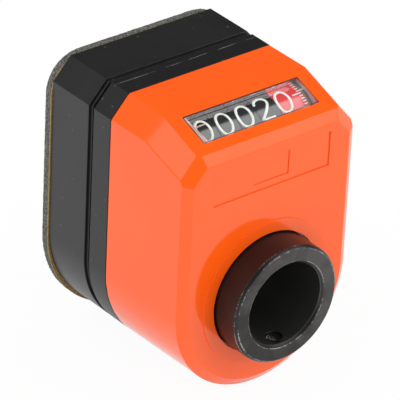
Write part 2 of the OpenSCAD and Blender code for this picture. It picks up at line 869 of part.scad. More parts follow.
module idler_pin() {
    color("silver") {
        rod(idler_pin_r, collar_left, spur_right + side_gap, idler_d, idler_z);
        rod(idler_pin_r + idler_wall, spur_right + side_gap, spur_right + side_gap + idler_head,
            idler_d, idler_z);
    }
}

module hollow_shaft() {
    seat = shaft_r - ring_seat;
    back = d_rear + shaft_rear;
    c = shaft_chamfer;
    b = bore_chamfer;
    color([0.25, 0.24, 0.23])
        difference() {
            rotate([90, 0, 0])
                rotate_extrude()
                    polygon([
                        [bore_r + b, back], [shaft_r - c, back], [shaft_r, back + c],
                        [shaft_r, hub_front], [seat, hub_front],
                        [seat, hub_front + ring_thick], [shaft_r, hub_front + ring_thick],
                        [shaft_r, d_tip - c], [shaft_r - c, d_tip], [bore_r + b, d_tip],
                        [bore_r, d_tip - b], [bore_r, back + b]
                    ]);
            translate([0, set_screw_back - d_tip, -shaft_r - 1])
                cylinder(d = set_screw_diameter, h = shaft_r + 1);
        }
}

module shaft_gear() {
    color("ivory")
        difference() {
            union() {
                translate([0, -gear_d, 0])
                    rotate([90, 0, 0])
                        helical(shaft_teeth, shaft_gear_width, 90 + 180 / shaft_teeth);
                post(shaft_r + 1, hub_rear, hub_front);
            }
            post(shaft_r, hub_rear - 1, hub_front + 1);
        }
}

// Open ring that snaps into the groove of the shaft
module retaining_ring() {
    outer = shaft_r + ring_rise;
    seat = shaft_r - ring_seat;
    color("gray")
        along(hub_front, hub_front + ring_thick)
            difference() {
                circle(outer);
                circle(seat + fit_gap);
                translate([-ring_opening / 2, -outer - 1])
                    square([ring_opening, ring_rise + ring_seat + 2]);
                for (side = [-1, 1])
                    rotate(side * 16)
                        translate([0, -(outer + seat) / 2])
                            circle(d = ring_hole);
            }
}

module set_screw() {
    r = set_screw_diameter / 2 - fit_gap;
    long = shaft_r - bore_r - 2 * set_screw_sink;
    color([0.15, 0.15, 0.15])
        translate([0, set_screw_back - d_tip, set_screw_sink - shaft_r])
            difference() {
                cylinder(r = r, h = long);
                translate([0, 0, -1])
                    cylinder(r = r * 0.58, h = 1 + long / 2, $fn = 6);
            }
}

module cross_axle() {
    color("silver")
        rod(cross_axle_r, lug_left - side_gap, spur_right + side_gap, gear_d, cross_z);
}

module cross_gear() {
    color("ivory")
        difference() {
            translate([0, -gear_d, cross_z])
                rotate([90, 0, 90])
                    helical(cross_teeth, cross_gear_width, 270);
            rod(cross_axle_r, -half, half, gear_d, cross_z);
        }
}

module transfer_gear() {
    color("ivory")
        across(spur_left, spur_right)
            translate([-gear_d, cross_z])
                difference() {
                    spur_outline(transfer_teeth);
                    circle(cross_axle_r);
                }
}

module idler_gear() {
    color("ivory")
        across(spur_left, spur_right)
            translate([-idler_d, idler_z])
                difference() {
                    rotate(idler_phase)
                        spur_outline(idler_teeth);
                    circle(idler_pin_r + run_gap);
                }
}

module units_wheel() {
    color("crimson")
        difference() {
            union() {
                difference() {
                    rod(wheel_radius, units_left + rim_gap, units_right, counter_d, counter_z);
                    rod(wheel_radius - wheel_rim, units_left + wheel_web, units_right + 1,
                        counter_d, counter_z);
                }
                rod(sleeve_r, units_left + wheel_web / 2, spur_right, counter_d, counter_z);
                carry_disc(units_left);
            }
            rod(axle_r + run_gap, units_left - wheel_pitch, half, counter_d, counter_z);
        }
}

module counter_gear() {
    color("ivory")
        across(spur_left, spur_right)
            translate([-counter_d, counter_z])
                difference() {
                    rotate(counter_phase)
                        spur_outline(counter_teeth);
                    circle(sleeve_r);
                }
}

module tens_wheel() {
    color([0.18, 0.18, 0.18])
        number_wheel(1, true);
}

module hundreds_wheel() {
    color([0.18, 0.18, 0.18])
        number_wheel(2, true);
}

module thousands_wheel() {
    color([0.18, 0.18, 0.18])
        number_wheel(3, true);
}

module ten_thousands_wheel() {
    color([0.18, 0.18, 0.18])
        number_wheel(4, false);
}

module carry_pinion_a() {
    color("ivory")
        carry_pinion(1);
}

module carry_pinion_b() {
    color("ivory")
        carry_pinion(2);
}

module carry_pinion_c() {
    color("ivory")
        carry_pinion(3);
}

module carry_pinion_d() {
    color("ivory")
        carry_pinion(4);
}

front_case();
window_pane();
chassis_ring();
rear_base();
backing_film();
foam_seal();
torque_pin();
case_screws();
front_seal();
rear_seal();
counter_frame();
frame_screws();
counter_axle();
carry_plates();
idler_pin();
hollow_shaft();
shaft_gear();
retaining_ring();
set_screw();
cross_axle();
cross_gear();
transfer_gear();
idler_gear();
units_wheel();
counter_gear();
tens_wheel();
hundreds_wheel();
thousands_wheel();
ten_thousands_wheel();
carry_pinion_a();
carry_pinion_b();
carry_pinion_c();
carry_pinion_d();
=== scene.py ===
import json
import math

import bmesh
import bpy
from mathutils import Matrix, Quaternion, Vector
from mathutils.bvhtree import BVHTree

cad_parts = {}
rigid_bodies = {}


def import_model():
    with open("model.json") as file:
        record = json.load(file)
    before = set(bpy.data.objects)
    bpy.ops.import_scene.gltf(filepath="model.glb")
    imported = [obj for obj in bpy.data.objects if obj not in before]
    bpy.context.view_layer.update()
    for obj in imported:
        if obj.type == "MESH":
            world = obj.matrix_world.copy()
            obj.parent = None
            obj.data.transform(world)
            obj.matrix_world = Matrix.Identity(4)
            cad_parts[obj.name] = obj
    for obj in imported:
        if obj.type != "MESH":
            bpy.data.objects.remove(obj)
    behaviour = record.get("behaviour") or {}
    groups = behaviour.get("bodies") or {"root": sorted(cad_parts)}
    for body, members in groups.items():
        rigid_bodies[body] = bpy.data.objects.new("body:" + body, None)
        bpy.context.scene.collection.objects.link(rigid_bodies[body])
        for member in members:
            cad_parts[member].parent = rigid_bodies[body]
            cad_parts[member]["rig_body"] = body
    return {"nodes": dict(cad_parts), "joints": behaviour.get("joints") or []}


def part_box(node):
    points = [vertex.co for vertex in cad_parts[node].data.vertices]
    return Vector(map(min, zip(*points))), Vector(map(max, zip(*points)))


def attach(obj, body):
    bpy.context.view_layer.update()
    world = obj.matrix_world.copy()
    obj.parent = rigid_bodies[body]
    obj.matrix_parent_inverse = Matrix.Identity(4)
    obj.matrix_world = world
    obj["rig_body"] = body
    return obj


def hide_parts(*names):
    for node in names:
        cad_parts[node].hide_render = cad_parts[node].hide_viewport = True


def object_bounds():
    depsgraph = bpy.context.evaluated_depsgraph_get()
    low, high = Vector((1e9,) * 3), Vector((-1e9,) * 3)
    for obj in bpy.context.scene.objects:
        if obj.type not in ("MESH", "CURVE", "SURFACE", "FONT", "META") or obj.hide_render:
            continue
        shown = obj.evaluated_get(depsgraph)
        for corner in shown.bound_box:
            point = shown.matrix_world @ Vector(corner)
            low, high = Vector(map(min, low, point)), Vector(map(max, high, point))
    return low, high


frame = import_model()
cadBox = [list(corner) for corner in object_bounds()]
nodes = frame["nodes"]
mm = 0.001
counterAxis = next(Vector(joint["pos_m"]) for joint in frame["joints"] if joint["child"] == "units")
wheelLow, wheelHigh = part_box("units_wheel")
wheelRadius = (wheelHigh[2] - wheelLow[2]) / 2
print("frame loaded,", len(nodes), "nodes")


# wraps a socket, so that node maths reads as plain expressions
class Wire:
    def __init__(self, tree, socket=None):
        self.tree = tree
        self.socket = socket

    def node(self, kind, settings=None, values=None, out=0):
        made = self.tree.nodes.new(kind)
        for name, value in (settings or {}).items():
            setattr(made, name, value)
        for name, value in (values or {}).items():
            if isinstance(value, Wire):
                self.tree.links.new(value.socket, made.inputs[name])
            else:
                made.inputs[name].default_value = value
        return Wire(self.tree, made.outputs[out] if len(made.outputs) else None)

    def maths(self, operation, first, second=0.0):
        return self.node("ShaderNodeMath", {"operation": operation}, {0: first, 1: second})

    def __add__(self, other):
        return self.maths("ADD", self, other)

    def __sub__(self, other):
        return self.maths("SUBTRACT", self, other)

    def __rsub__(self, other):
        return self.maths("SUBTRACT", other, self)

    def __mul__(self, other):
        return self.maths("MULTIPLY", self, other)

    def __truediv__(self, other):
        return self.maths("DIVIDE", self, other)

    def __pow__(self, other):
        return self.maths("POWER", self, other)

    __radd__ = __add__
    __rmul__ = __mul__


def blendColours(wire, mask, first, second):
    return wire.node("ShaderNodeMix", {"data_type": "RGBA"}, {0: mask, 6: first, 7: second}, 2)


def ramp(wire, value, low, high):
    return wire.node("ShaderNodeMapRange", {"interpolation_type": "SMOOTHSTEP"},
                     {"Value": value, "From Min": low, "From Max": high})


def noise(wire, place, size, detail=2.0):
    return wire.node("ShaderNodeTexNoise", {},
                     {"Vector": place, "Scale": 1 / size, "Detail": detail}, "Fac")


def cells(wire, place, size, out="Distance"):
    return wire.node("ShaderNodeTexVoronoi", {}, {"Vector": place, "Scale": 1 / size}, out)


def splitPlace(wire, place):
    return [wire.node("ShaderNodeSeparateXYZ", {}, {0: place}, axis) for axis in "XYZ"]


def startMaterial(name):
    material = bpy.data.materials.new(name)
    material.use_nodes = True
    material.node_tree.nodes.clear()
    wire = Wire(material.node_tree)
    return material, wire, wire.node("ShaderNodeTexCoord", out="Object")


def closeMaterial(wire, values, height=None, depth=0.0):
    if height is not None:
        values = dict(values, Normal=wire.node("ShaderNodeBump", {}, {"Distance": depth, "Height": height}))
    shader = wire.node("ShaderNodeBsdfPrincipled", {}, values)
    wire.node("ShaderNodeOutputMaterial", {}, {"Surface": shader})


# a broken scratch across the top, at one depth behind the front
def scratched(wire, place, drift, tone, look):
    x, y, z = splitPlace(wire, place)
    along, across, up = look["stretch"]
    drawn = wire.node("ShaderNodeCombineXYZ", {}, {"X": x * along, "Y": y * across, "Z": z * up})
    streak = ramp(wire, noise(wire, drawn, look["size"]), *look["breaks"])
    reach = wire.maths("ABSOLUTE", y + look["depth"] + (drift - 0.5) * look["wander"])
    line = ramp(wire, reach, look["width"], look["core"]) * streak
    line = line * ramp(wire, z, look["height"], look["height"] + look["fade"])
    return blendColours(wire, line * look["share"], tone, look["colour"])


# moulded plastic with a fine skin, a slow drift of tone and sparse specks of dust
def plastic(name, look):
    material, wire, place = startMaterial(name)
    drift = noise(wire, place, look["driftSize"])
    skin = noise(wire, place, look["skinSize"])
    dot = cells(wire, place, look["dustSpace"])
    luck = wire.node("ShaderNodeSeparateColor", {}, {0: cells(wire, place, look["dustSpace"], "Color")})
    dust = ramp(wire, dot, look["dustSize"], look["dustSize"] * look["dustCore"])
    dust = dust * ramp(wire, luck, *look["dustLuck"])
    tone = blendColours(wire, ramp(wire, drift, *look["driftRange"]), look["deep"], look["colour"])
    tone = blendColours(wire, dust * look["dust"], tone, look["dustColour"])
    if "scratch" in look:
        tone = scratched(wire, place, drift, tone, look["scratch"])
    closeMaterial(wire, {
        "Base Color": tone,
        "Roughness": look["roughness"] + (skin - 0.5) * look["roughSpread"] + dust * look["dustRough"],
        "IOR": look["ior"],
    }, skin, look["skinDepth"])
    return material


mouldLook = dict(driftRange=(0.3, 0.7), dustCore=0.4, dustLuck=(0.6, 0.9), dustRough=0.3, ior=1.5)
orangeLook = dict(mouldLook, colour=(1.0, 0.113, 0.006, 1), deep=(0.98, 0.106, 0.005, 1), roughness=0.09,
                  ior=1.53, roughSpread=0.04, driftSize=14 * mm, skinSize=0.5 * mm, skinDepth=0.002 * mm,
                  dustSpace=3 * mm, dustSize=0.04, dust=0.25, dustColour=(1.0, 0.3, 0.12, 1))
blackLook = dict(mouldLook, colour=(0.014, 0.014, 0.015, 1), deep=(0.011, 0.011, 0.012, 1), roughness=0.38,
                 roughSpread=0.1, driftSize=8 * mm, skinSize=0.3 * mm, skinDepth=0.006 * mm,
                 dustSpace=2.2 * mm, dustSize=0.13, dust=0.8, dustColour=(0.12, 0.12, 0.12, 1))
scratchLook = dict(depth=16.2 * mm, height=43.2 * mm, fade=0.2 * mm, width=0.11 * mm, core=0.05 * mm,
                   wander=0.3 * mm, size=0.5 * mm, stretch=(0.12, 2.0, 0.3), breaks=(0.47, 0.57),
                   share=0.7, colour=(0.34, 0.34, 0.33, 1))
ringLook = dict(blackLook, colour=(0.01, 0.01, 0.011, 1), deep=(0.008, 0.008, 0.009, 1), roughness=0.42,
                scratch=scratchLook)
wheelLook = dict(blackLook, colour=(0.018, 0.018, 0.019, 1), deep=(0.014, 0.014, 0.015, 1),
                 roughness=0.14, roughSpread=0.04, skinDepth=0.001 * mm, dust=0.1)
redLook = dict(wheelLook, colour=(0.6, 0.046, 0.052, 1), deep=(0.55, 0.04, 0.046, 1),
               dustColour=(0.8, 0.2, 0.2, 1))
whiteLook = dict(wheelLook, colour=(0.78, 0.77, 0.73, 1), deep=(0.72, 0.71, 0.67, 1),
                 roughness=0.4, dustColour=(0.5, 0.5, 0.48, 1))
rubberLook = dict(blackLook, colour=(0.012, 0.012, 0.012, 1), deep=(0.008, 0.008, 0.008, 1),
                  roughness=0.6, skinDepth=0.01 * mm)
# painted light in part: this copy of the wheels' plastic takes a grey base, standing in for reflected light
# the strip lamps don't give the collar; the rest is the frame's own grey
frameLook = dict(wheelLook, colour=(0.19, 0.185, 0.18, 1), deep=(0.15, 0.146, 0.142, 1))
orangePlastic = plastic("orangePlastic", orangeLook)
blackPlastic = plastic("blackPlastic", blackLook)
ringPlastic = plastic("ringPlastic", ringLook)
wheelBlack = plastic("wheelBlack", wheelLook)
wheelRed = plastic("wheelRed", redLook)
frameBlack = plastic("frameBlack", frameLook)
whiteAcetal = plastic("whiteAcetal", whiteLook)
sealRubber = plastic("sealRubber", rubberLook)
printWhite = plastic("printWhite", dict(whiteLook, colour=(0.74, 0.73, 0.69, 1),
                                        deep=(0.68, 0.67, 0.63, 1), skinSize=0.2 * mm))


# turned steel: fine rings round the shaft axis, cloudy oxide, scratched bright edges; the end face is lighter
# than the side and carries a painted sheen, and the bore's inside takes painted light
def steel(name, look):
    material, wire, place = startMaterial(name)
    x, y, z = splitPlace(wire, place)
    radius = wire.maths("SQRT", x * x + z * z)
    cloud = noise(wire, place, look["cloudSize"], look["detail"])
    ringPlace = wire.node("ShaderNodeCombineXYZ", {}, {"X": radius, "Y": y, "Z": 0.0})
    rings = noise(wire, ringPlace, look["ringSize"])
    endFace = ramp(wire, y, look["endFace"] + look["fade"], look["endFace"])
    # painted sheen: the end face grows lighter towards +x and +z, a highlight painted into its colour
    paintedSheen = ramp(wire, cloud + (x + z) * look["paintedSheenLean"], *look["paintedSheenRange"])
    side = blendColours(wire, ramp(wire, cloud, *look["sideRange"]), look["deep"], look["side"])
    # painted light: the inside of the bore is lifted to a paler tone
    inBore = ramp(wire, radius, look["boreRadius"] + look["fade"], look["boreRadius"])
    side = blendColours(wire, inBore, side, look["bore"])
    tone = blendColours(wire, endFace, side, blendColours(wire, paintedSheen, look["deep"], look["colour"]))
    if look["edges"]:
        fine = noise(wire, place, look["scratchSize"], look["detail"])
        scratch = ramp(wire, fine * 0.5 + cloud * 0.5, *look["scratchRange"])
        worn = 0.0
        for edgeRadius, edgeDepth in look["edges"]:
            reach = wire.maths("SQRT", (radius - edgeRadius) ** 2.0 + (y + edgeDepth) ** 2.0)
            worn = worn + ramp(wire, reach, look["wear"], look["wornCore"])
        tone = blendColours(wire, worn * scratch, tone, look["bare"])
    roughness = look["roughness"] + (cloud - 0.5) * look["cloudRough"] + (rings - 0.5) * look["ringRough"]
    closeMaterial(wire, {"Base Color": tone, "Metallic": look["metallic"], "Roughness": roughness},
                  rings, look["ringDepth"])
    return material


shaftLook = dict(colour=(0.084, 0.081, 0.077, 1), deep=(0.034, 0.032, 0.031, 1),
                 side=(0.043, 0.039, 0.037, 1), bore=(0.09, 0.09, 0.086, 1), bare=(0.38, 0.37, 0.35, 1),
                 metallic=0.75, roughness=0.36, cloudRough=0.12, ringRough=0.16,
                 boreRadius=10 * mm, endFace=-54.05 * mm, fade=0.3 * mm,
                 cloudSize=3.5 * mm, detail=4.0, paintedSheenLean=14.0, paintedSheenRange=(0.2, 0.85), sideRange=(0.2, 0.9),
                 ringSize=0.12 * mm, ringDepth=0.003 * mm,
                 scratchSize=0.5 * mm, scratchRange=(0.46, 0.61), wear=0.16 * mm, wornCore=0.064 * mm,
                 edges=[(14.3 * mm, 53.45 * mm), (13.7 * mm, 54.05 * mm), (10.65 * mm, 54.1 * mm)])
pinLook = dict(shaftLook, colour=(0.55, 0.55, 0.54, 1), deep=(0.45, 0.45, 0.44, 1), side=(0.5, 0.5, 0.49, 1),
               metallic=1.0, roughness=0.3, edges=[])
shaftSteel = steel("shaftSteel", shaftLook)
pinSteel = steel("pinSteel", pinLook)


screwLook = dict(colour=(0.66, 0.65, 0.62, 1), deep=(0.02, 0.02, 0.019, 1), metallic=0.3, roughness=0.35,
                 turnRough=0.1, pitch=0.6 * mm, turnRange=(0.25, 0.42), patch=0.8 * mm, ragged=1 * mm,
                 dark=0.9 * mm, bright=-0.8 * mm)


# set screw: painted glints on bright thread turns over a dark end, on its left side only
def screwMaterial(look):
    material, wire, place = startMaterial("screwSteel")
    low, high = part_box("set_screw")
    x, y = splitPlace(wire, place)[:2]
    away = y - (low[1] + high[1]) / 2
    fold = wire.maths("PINGPONG", wire.maths("SQRT", x * x + away * away), look["pitch"] / 2)
    turns = ramp(wire, fold, *[look["pitch"] * share for share in look["turnRange"]])
    # painted glint: the bright turns fade out towards +x, so the highlight stays on the left side
    edge = x + noise(wire, place, look["patch"]) * look["ragged"]
    turns = turns * ramp(wire, edge, look["dark"], look["bright"])
    closeMaterial(wire, {
        "Base Color": blendColours(wire, turns, look["deep"], look["colour"]),
        "Metallic": look["metallic"],
        "Roughness": look["roughness"] + turns * look["turnRough"],
    })
    return material


screwSteel = screwMaterial(screwLook)


filmLook = dict(colour=(0.34, 0.23, 0.07, 1), deep=(0.2, 0.13, 0.04, 1), fibreSize=0.6 * mm,
                detail=5.0, fibreRange=(0.3, 0.7), fibreDepth=0.01 * mm, roughness=0.6, roughSpread=0.2)


def filmMaterial(look):
    material, wire, place = startMaterial("yellowFilm")
    fibres = noise(wire, place, look["fibreSize"], look["detail"])
    closeMaterial(wire, {
        "Base Color": blendColours(wire, ramp(wire, fibres, *look["fibreRange"]),
                                   look["deep"], look["colour"]),
        "Roughness": look["roughness"] + (fibres - 0.5) * look["roughSpread"],
    }, fibres, look["fibreDepth"])
    return material


spongeLook = dict(skin=(0.13, 0.128, 0.115, 1), pitShade=(0.03, 0.03, 0.028, 1), fleck=(0.36, 0.36, 0.34, 1),
                  cellSize=0.4 * mm, wobbleSize=0.4 * mm, detail=3.0, wobble=0.5, pitRange=(0.5, 0.2),
                  fleckRange=(0.58, 0.75), pitDepth=0.8, depth=0.12 * mm, roughness=0.95, roughSpread=0.1)


# open cells: dark pits of painted shade between paler walls
def spongeMaterial(look):
    material, wire, place = startMaterial("greyFoam")
    wobble = noise(wire, place, look["wobbleSize"], look["detail"])
    pits = cells(wire, place, look["cellSize"])
    pit = ramp(wire, pits + (wobble - 0.5) * look["wobble"], *look["pitRange"])
    # painted shade: the pits take the dark pit-shade colour
    tone = blendColours(wire, pit, look["skin"], look["pitShade"])
    tone = blendColours(wire, ramp(wire, wobble, *look["fleckRange"]), tone, look["fleck"])
    closeMaterial(wire, {"Base Color": tone, "Roughness": look["roughness"] - wobble * look["roughSpread"]},
                  wobble - pit * look["pitDepth"], look["depth"])
    return material


paneLook = dict(clear=(0.97, 0.98, 0.98, 1), mirror=0.035, hazeSpread=0.03, roughness=0.03, hazeSize=4 * mm)


# a thin clear sheet: clear straight through, with a little mirror and haze
def paneMaterial(look):
    material, wire, place = startMaterial("clearPane")
    haze = noise(wire, place, look["hazeSize"])
    clear = wire.node("ShaderNodeBsdfTransparent", {}, {"Color": look["clear"]})
    mirror = wire.node("ShaderNodeBsdfAnisotropic", {},
                       {"Color": (1, 1, 1, 1), "Roughness": look["roughness"]})
    share = look["mirror"] + (haze - 0.5) * look["hazeSpread"]
    mixed = wire.node("ShaderNodeMixShader", {}, {0: share, 1: clear, 2: mirror})
    wire.node("ShaderNodeOutputMaterial", {}, {"Surface": mixed})
    return material


edgeLook = dict(colour=(0.74, 0.69, 0.69, 1), deep=(0.66, 0.56, 0.56, 1), cloudSize=3 * mm,
                cloudRange=(0.3, 0.75), cloudRough=0.04, roughness=0.05, endRough=0.25,
                endRange=(15.8 * mm, 15.9 * mm), lift=0.01 * mm, gap=0.06 * mm, rim=0.6 * mm,
                wallLean=0.05, endLean=0.02, near=0.3 * mm, margin=0.5 * mm, middle=2 * mm,
                downhill=0.5)


# the clear plug's polished edges mirror the wheels, the right end less sharply
def edgeMaterial(look):
    material, wire, place = startMaterial("paneEdge")
    cloud = noise(wire, place, look["cloudSize"])
    atEnd = ramp(wire, splitPlace(wire, place)[0], *look["endRange"])
    roughness = look["roughness"] + atEnd * look["endRough"] + (cloud - 0.5) * look["cloudRough"]
    closeMaterial(wire, {
        "Base Color": blendColours(wire, ramp(wire, cloud, *look["cloudRange"]),
                                   look["colour"], look["deep"]),
        "Metallic": 1.0,
        "Roughness": roughness,
    })
    return material


paneEdge = edgeMaterial(edgeLook)
yellowFilm = filmMaterial(filmLook)
greyFoam = spongeMaterial(spongeLook)
clearPane = paneMaterial(paneLook)

finishes = [
    (orangePlastic, ["front_case"]),
    (blackPlastic, ["rear_base"]),
    (ringPlastic, ["chassis_ring"]),
    (shaftSteel, ["hollow_shaft", "retaining_ring"]),
    (screwSteel, ["set_screw"]),
    (pinSteel, ["torque_pin", "case_screws", "frame_screws", "counter_axle", "cross_axle", "idler_pin"]),
    (sealRubber, ["front_seal", "rear_seal"]),
    (whiteAcetal, ["shaft_gear", "cross_gear", "transfer_gear", "idler_gear", "counter_gear",
                   "carry_plates", "carry_pinion_a", "carry_pinion_b", "carry_pinion_c", "carry_pinion_d"]),
    (frameBlack, ["counter_frame"]),
    (wheelBlack, ["tens_wheel", "hundreds_wheel", "thousands_wheel", "ten_thousands_wheel"]),
    (wheelRed, ["units_wheel"]),
    (yellowFilm, ["backing_film"]),
    (greyFoam, ["foam_seal"]),
    (clearPane, ["window_pane"]),
]
for material, names in finishes:
    for name in names:
        nodes[name].data.materials.clear()
        nodes[name].data.materials.append(material)
print("materials set on", sum(len(names) for material, names in finishes), "nodes")


def addPiece(name, mesh, material):
    piece = bpy.data.objects.new(name, mesh)
    bpy.context.scene.collection.objects.link(piece)
    mesh.materials.clear()
    mesh.materials.append(material)
    return piece


mergeLook = dict(merge=0.002 * mm, flatAngle=0.4, sharpAngle=40, probe=0.05 * mm, sight=80 * mm)


# merged copy of a node's loose triangles with its flat faces whole
def wholeCopy(node):
    solid = bmesh.new()
    solid.from_mesh(nodes[node].data)
    bmesh.ops.remove_doubles(solid, verts=solid.verts, dist=mergeLook["merge"])
    bmesh.ops.dissolve_limit(solid, angle_limit=math.radians(mergeLook["flatAngle"]),
                             verts=solid.verts, edges=solid.edges)
    bmesh.ops.recalc_face_normals(solid, faces=solid.faces)
    return solid


# outer corners take a small round, as a moulded or turned edge does
def softened(node, name, material, look):
    solid = wholeCopy(node)
    tree = BVHTree.FromBMesh(solid)
    outer = {look["width"]: [], look["fine"]: []}
    for edge in solid.edges:
        if len(edge.link_faces) != 2 or not edge.is_convex:
            continue
        if edge.calc_face_angle() < math.radians(look["angle"]):
            continue
        first, second = edge.link_faces
        thin = min(first.calc_area(), second.calc_area()) / edge.calc_length()
        if thin < 2 * look["fine"]:
            continue
        out = (first.normal + second.normal).normalized()
        middle = (edge.verts[0].co + edge.verts[1].co) / 2 + out * mergeLook["probe"]
        if tree.ray_cast(middle, out, mergeLook["sight"])[0] is None:
            outer[look["width"] if thin > look["broad"] else look["fine"]].append(edge)
    for width, edges in outer.items():
        edges = [edge for edge in edges if edge.is_valid]
        bmesh.ops.bevel(solid, geom=edges, offset=width, offset_type="OFFSET", segments=look["steps"],
                        profile=0.5, affect="EDGES", clamp_overlap=False, loop_slide=True)
    mesh = bpy.data.meshes.new(name)
    solid.to_mesh(mesh)
    solid.free()
    mesh.shade_smooth()
    mesh.set_sharp_from_angle(angle=math.radians(mergeLook["sharpAngle"]))
    piece = addPiece(name, mesh, material)
    weighted = piece.modifiers.new("weighted", "WEIGHTED_NORMAL")
    weighted.keep_sharp = True
    plain = bpy.data.meshes.new_from_object(piece.evaluated_get(bpy.context.evaluated_depsgraph_get()))
    piece.modifiers.clear()
    piece.data = plain
    print(name, "softened on", sum(map(len, outer.values())), "edges,", len(plain.polygons), "faces")
    return piece


# node: piece, material, body, slot and the sizes of its rounds
roundLooks = {
    "front_case": ("orangeCase", orangePlastic, "housing", "orange_plastic",
                   dict(width=0.3 * mm, fine=0.06 * mm, broad=2.2 * mm, steps=3, angle=14)),
    "chassis_ring": ("blackRing", ringPlastic, "housing", "black_plastic",
                     dict(width=0.1 * mm, fine=0.06 * mm, broad=0, steps=2, angle=20)),
    "rear_base": ("blackBase", blackPlastic, "housing", "black_plastic",
                  dict(width=0.14 * mm, fine=0.06 * mm, broad=0, steps=2, angle=20)),
    "hollow_shaft": ("shaftBush", shaftSteel, "shaft", "black_steel",
                     dict(width=0.1 * mm, fine=0.06 * mm, broad=0, steps=2, angle=20)),
}


# the pane's outer face as a drawing plane: across, down the slope and out
paneMesh = nodes["window_pane"].data
paneTops = [face for face in paneMesh.polygons if face.normal.z > 0]
paneOut = max(paneTops, key=lambda face: face.area).normal.copy()
paneSide = Vector((1, 0, 0))
paneDown = paneSide.cross(paneOut)
paneHeight = max(point.co.dot(paneOut) for point in paneMesh.vertices)
paneWide = max(point.co.dot(paneSide) for point in paneMesh.vertices)
paneLow, paneHigh = [pick(point.co.dot(paneDown) for point in paneMesh.vertices) for pick in (min, max)]


# thin skins on the walls of the case's window, for the plug's polished edges;
# the upper one reaches down to the wheels
def paneEdges(case, look):
    middle = paneDown * (paneLow + paneHigh) / 2 + paneOut * paneHeight
    half = (paneHigh - paneLow) / 2
    rise = math.sqrt(wheelRadius ** 2 - (paneLow - counterAxis.dot(paneDown)) ** 2)
    foot = counterAxis.dot(paneOut) + rise + look["gap"]
    points, faces = [], []
    for face in case.data.polygons:
        away = face.center - middle
        if abs(face.normal.dot(paneOut)) > look["wallLean"]:
            continue
        tilt = abs(face.normal.x)
        across = tilt > 1 - look["endLean"] and abs(abs(away.x) - paneWide) < look["near"]
        upward = tilt < look["endLean"] and face.normal.dot(away) < 0 and abs(away.x) < look["middle"]
        if not (across or upward) or abs(away.dot(paneDown)) > half + look["margin"]:
            continue
        faces.append(range(len(points), len(points) + len(face.vertices)))
        for spot in face.vertices:
            place = case.data.vertices[spot].co + face.normal * look["lift"]
            sunk = paneHeight - place.dot(paneOut)
            if sunk > look["rim"] and face.normal.dot(paneDown) > look["downhill"]:
                place += paneOut * (foot - place.dot(paneOut))
            points.append(place)
    mesh = bpy.data.meshes.new("paneEdges")
    mesh.from_pydata(points, [], faces)
    piece = addPiece("paneEdges", mesh, paneEdge)
    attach(piece, "housing")
    print("pane edges,", len(faces), "faces")
    return piece


counterThings, edgeThings = [nodes["counter_frame"]], []
for node, (name, material, body, slotName, look) in roundLooks.items():
    piece = softened(node, name, material, look)
    if node == "front_case":
        edgeThings.append(paneEdges(piece, edgeLook))
    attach(piece, body)
    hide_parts(node)


def drawOnPane(name, spots, faces, lift, material):
    mesh = bpy.data.meshes.new(name)
    height = paneOut * (paneHeight + lift)
    mesh.from_pydata([paneSide * u + paneDown * v + height for u, v in spots], [], faces)
    if mesh.polygons[0].normal.dot(paneOut) < 0:
        mesh.flip_normals()
    piece = addPiece(name, mesh, material)
    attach(piece, "housing")
    print(name, "drawn on the pane")


gapShadeLook = dict(width=0.22 * mm, upper=0.38 * mm, lift=0.012 * mm, colour=(0.17, 0.03, 0.018, 1),
                 deep=(0.11, 0.018, 0.012, 1))


# painted shade: a dark band over the pane's rim, for the shadow in the gap where the pane meets the case
def paneGapShade(look):
    ring = []
    for inset, upper in ((0, 0), (look["width"], look["upper"])):
        wide, low, high = paneWide - inset, paneLow + upper, paneHigh - inset
        ring += [(-wide, low), (wide, low), (wide, high), (-wide, high)]
    paint = plastic("jointShade", dict(rubberLook, colour=look["colour"], deep=look["deep"]))
    drawOnPane("paneGapShade", ring, [(k, (k + 1) % 4, 4 + (k + 1) % 4, 4 + k) for k in range(4)],
               look["lift"], paint)


paneGapShade(gapShadeLook)


rimHighlightLook = dict(top=0.4 * mm, foot=1.05 * mm, lift=0.008 * mm, streak=0.16 * mm, stretch=0.06,
               streakRange=(0.36, 0.6), roughness=0.3, roughSpread=0.2,
               colour=(0.7, 0.52, 0.46, 1), deep=(0.34, 0.22, 0.18, 1))
pointerLook = dict(long=3.7 * mm, high=0.55 * mm, tip=0.3 * mm, place=3.4 * mm)


# painted highlight: the plug's left rim is painted with pale streaks of caught light, and a pale pointer runs
# in from it in the same paint
def paneRimHighlight(look, pointer):
    material, wire, place = startMaterial("paneRimHighlight")
    x, y, z = splitPlace(wire, place)
    drawn = wire.node("ShaderNodeCombineXYZ", {},
                      {"X": x, "Y": y * look["stretch"], "Z": z * look["stretch"]})
    streak = noise(wire, drawn, look["streak"])
    closeMaterial(wire, {
        "Base Color": blendColours(wire, ramp(wire, streak, *look["streakRange"]),
                                   look["deep"], look["colour"]),
        "Roughness": look["roughness"] + (streak - 0.5) * look["roughSpread"],
    })
    inset = gapShadeLook["width"]
    left, low, high = -paneWide + inset, paneLow + gapShadeLook["upper"], paneHigh - inset
    spots = [(left, low), (left + look["top"], low), (left + look["foot"], high), (left, high)]
    drawOnPane("paneRimHighlight", spots, [(0, 1, 2, 3)], look["lift"], material)
    foot = paneLow + pointer["place"]
    spots = [(left, foot), (left + pointer["long"], foot),
             (left + pointer["long"], foot + pointer["tip"]), (left, foot + pointer["high"])]
    drawOnPane("panePointer", spots, [(0, 1, 2, 3)], look["lift"] / 2, material)


paneRimHighlight(rimHighlightLook, pointerLook)


spongeShape = dict(facet=0.42 * mm, rough=0.16 * mm, level=0.55, grain=0.9 * mm)


